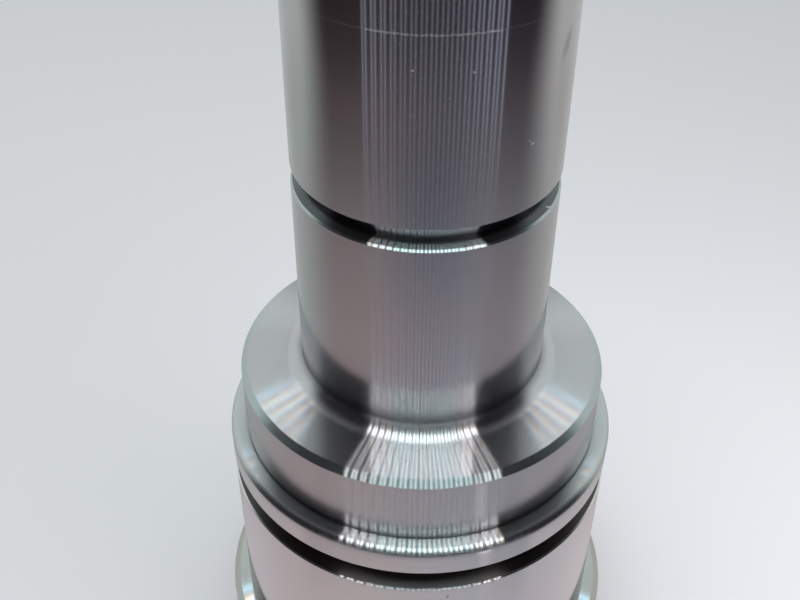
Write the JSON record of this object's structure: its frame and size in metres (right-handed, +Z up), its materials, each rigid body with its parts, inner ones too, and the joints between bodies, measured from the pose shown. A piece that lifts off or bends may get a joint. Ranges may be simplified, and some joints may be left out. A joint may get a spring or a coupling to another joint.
{
  "type": "stepped shaft",
  "caption": "Turned steel stepped shaft: grooved upper land and journal, chamfered collar, thin ring shoulder, seal groove, wide land and bottom flange.",
  "frame": {"origin": "on the shaft's axis, in the flat underside of the bottom flange", "axes": "+Z up along the shaft's axis, from the flange to the free end of the upper land; +X and +Y are arbitrary on a turned part, with the small nick in the journal's rim 26.5 degrees from +X towards -Y"},
  "size_m": [0.0724, 0.0724, 0.1439],
  "materials": {
    "turned_steel": "fine turned and ground steel, with circular tool marks, bright edge breaks and faint rainbow tints"
  },
  "bodies": {
    "root": {"stepped_shaft": "turned_steel"}
  },
  "joints": []
}
